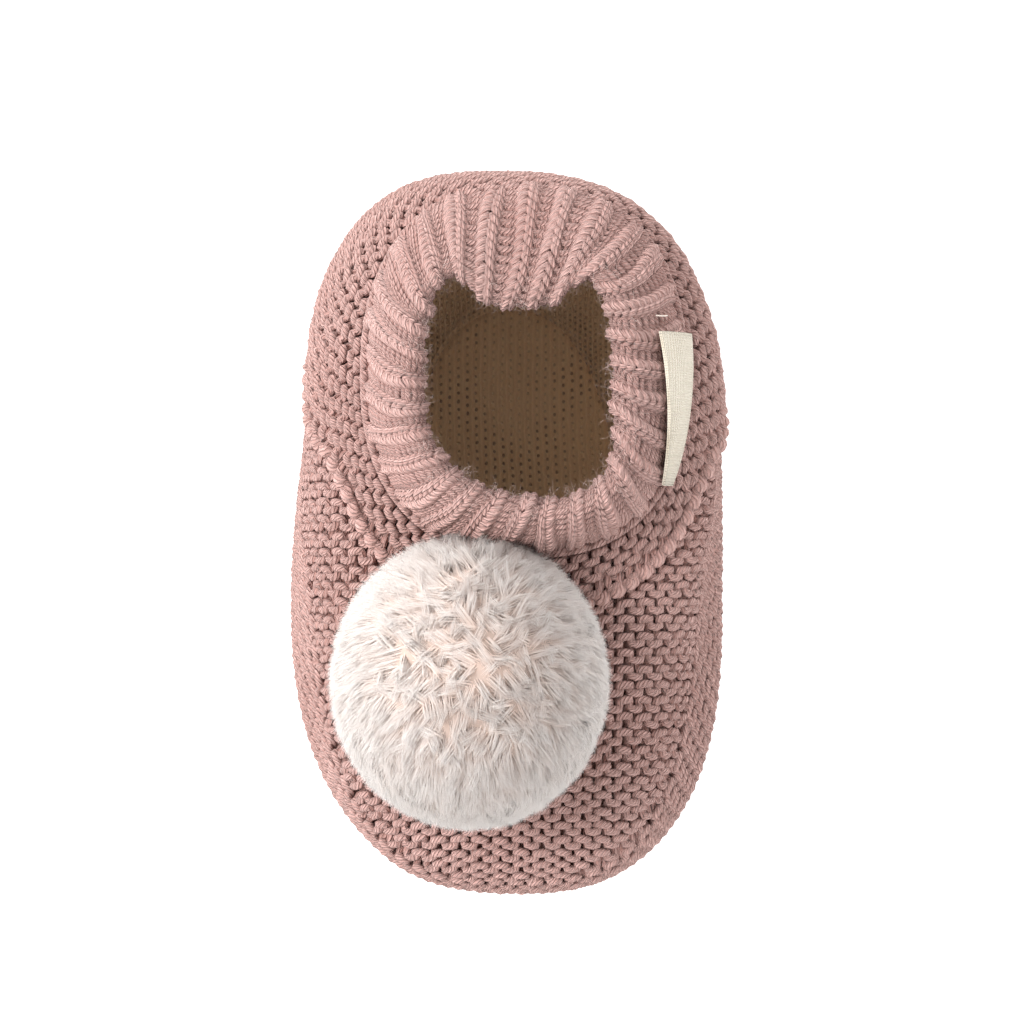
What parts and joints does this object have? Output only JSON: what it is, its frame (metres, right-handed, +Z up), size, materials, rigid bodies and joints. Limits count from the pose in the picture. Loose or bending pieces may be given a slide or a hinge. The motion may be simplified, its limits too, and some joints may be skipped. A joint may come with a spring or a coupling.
{
  "type": "knitted baby slipper",
  "caption": "Soft knitted baby slipper with a garter-stitch foot, ribbed rolled collar, knitted flat sole, fleece pompom on the vamp and a side label.",
  "frame": {"origin": "on the floor under the middle of the flat sole, half way between toe and heel", "axes": "+Z up, -Y towards the toe, +Y towards the heel, +X to the side that carries the label"},
  "size_m": [0.0654, 0.1095, 0.0689],
  "materials": {
    "garter_knit": "dusty pink garter-knit wool and cotton yarn",
    "sole_knit": "dusty pink knitted yarn",
    "rib_knit": "dusty pink ribbed knit",
    "lining_jersey": "beige cotton jersey",
    "pompom_pile": "off-white sheared fleece pile",
    "label_tape": "cream woven tape"
  },
  "bodies": {
    "root": {"upper": "garter_knit", "sole": "sole_knit", "cuff": "rib_knit", "insole": "lining_jersey", "pompom": "pompom_pile", "label": "label_tape"}
  },
  "joints": []
}
